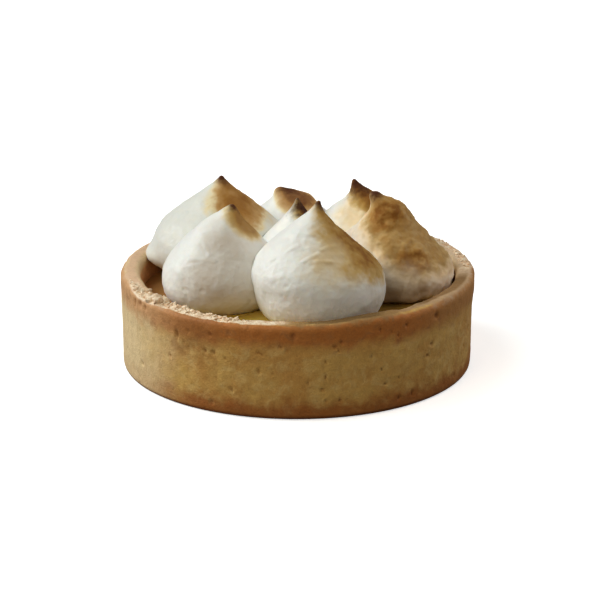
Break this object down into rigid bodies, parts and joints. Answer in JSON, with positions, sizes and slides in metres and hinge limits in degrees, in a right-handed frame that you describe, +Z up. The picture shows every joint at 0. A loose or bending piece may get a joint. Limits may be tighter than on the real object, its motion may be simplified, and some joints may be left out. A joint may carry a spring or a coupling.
{
  "type": "lemon meringue tart",
  "caption": "Individual lemon meringue tart: a straight-sided shortcrust shell filled with lemon curd and topped with piped, torched meringue kisses.",
  "frame": {"origin": "centre of the flat underside of the pastry shell", "axes": "+Z up through the tart's axis; -Y towards the side with the largest kiss, +X to the right of that side"},
  "size_m": [0.1, 0.1002, 0.0546],
  "materials": {
    "baked_pastry": "dry baked shortcrust, fine pits, browner at the rim and the foot",
    "lemon_curd": "smooth set curd, moist sheen",
    "torched_meringue": "satin white Italian meringue, toasted brown by a torch at the tips and right flanks"
  },
  "bodies": {
    "root": {"crust": "baked_pastry", "lemon_curd": "lemon_curd", "meringue_front": "torched_meringue", "meringue_front_left": "torched_meringue", "meringue_right": "torched_meringue", "meringue_back_right": "torched_meringue", "meringue_back": "torched_meringue", "meringue_back_left": "torched_meringue", "meringue_middle": "torched_meringue"}
  },
  "joints": []
}
